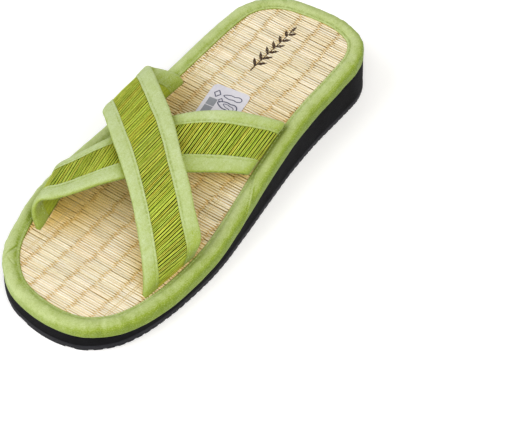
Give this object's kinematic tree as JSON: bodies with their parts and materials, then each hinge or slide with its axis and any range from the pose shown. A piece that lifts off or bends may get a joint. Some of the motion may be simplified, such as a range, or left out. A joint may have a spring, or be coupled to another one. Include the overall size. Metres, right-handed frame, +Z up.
{
  "type": "cross-strap slide sandal",
  "caption": "Right-foot slide sandal with a wedge sole, a straw mat footbed, a rolled cloth edge and two crossed straps faced with grass stalks.",
  "frame": {"origin": "on the ground, under the middle of the sole's outline", "axes": "+Y towards the heel, -Y towards the toe, +X towards the inner (big toe) side, +Z up"},
  "size_m": [0.107, 0.254, 0.0512],
  "materials": {
    "outsole": "matt black ribbed rubber foam",
    "midsole": "matt black moulded foam",
    "footbed_foam": "soft pale foam",
    "straw_mat": "dry woven rice straw",
    "binding_cloth": "green cotton cloth",
    "strap_tape": "pale green brushed cotton tape",
    "strap_lining": "dark green cloth lining",
    "grass_stalks": "green dyed grass stalks, slight sheen",
    "thread": "green sewing thread",
    "label_film": "pale lavender film label",
    "ink": "dark brown stamped ink"
  },
  "bodies": {
    "main": {"outsole_main": "outsole", "midsole_main": "midsole", "footbed_main": "footbed_foam", "straw_mat_main": "straw_mat", "binding_main": "binding_cloth", "binding_seam_main": "thread", "lower_strap_lining": "strap_lining", "lower_strap_grass": "grass_stalks", "lower_strap_front_tape": "strap_tape", "lower_strap_rear_tape": "strap_tape", "lower_strap_front_seam": "thread", "lower_strap_rear_seam": "thread", "upper_strap_lining": "strap_lining", "upper_strap_grass": "grass_stalks", "upper_strap_front_tape": "strap_tape", "upper_strap_rear_tape": "strap_tape", "upper_strap_front_seam": "thread", "upper_strap_rear_seam": "thread", "composition_label": "label_film", "heel_mark": "ink"},
    "toe": {"outsole_toe": "outsole", "midsole_toe": "midsole", "footbed_toe": "footbed_foam", "straw_mat_toe": "straw_mat", "binding_toe": "binding_cloth", "binding_seam_toe": "thread"}
  },
  "joints": [
    {"name": "sole_flex", "type": "hinge", "parent": "main", "child": "toe", "pos_m": [0, -0.088, 0.015], "axis": [-1, 0, 0], "range_deg": [0, 35], "stiffness_Nm_per_rad": 0.6}
  ]
}
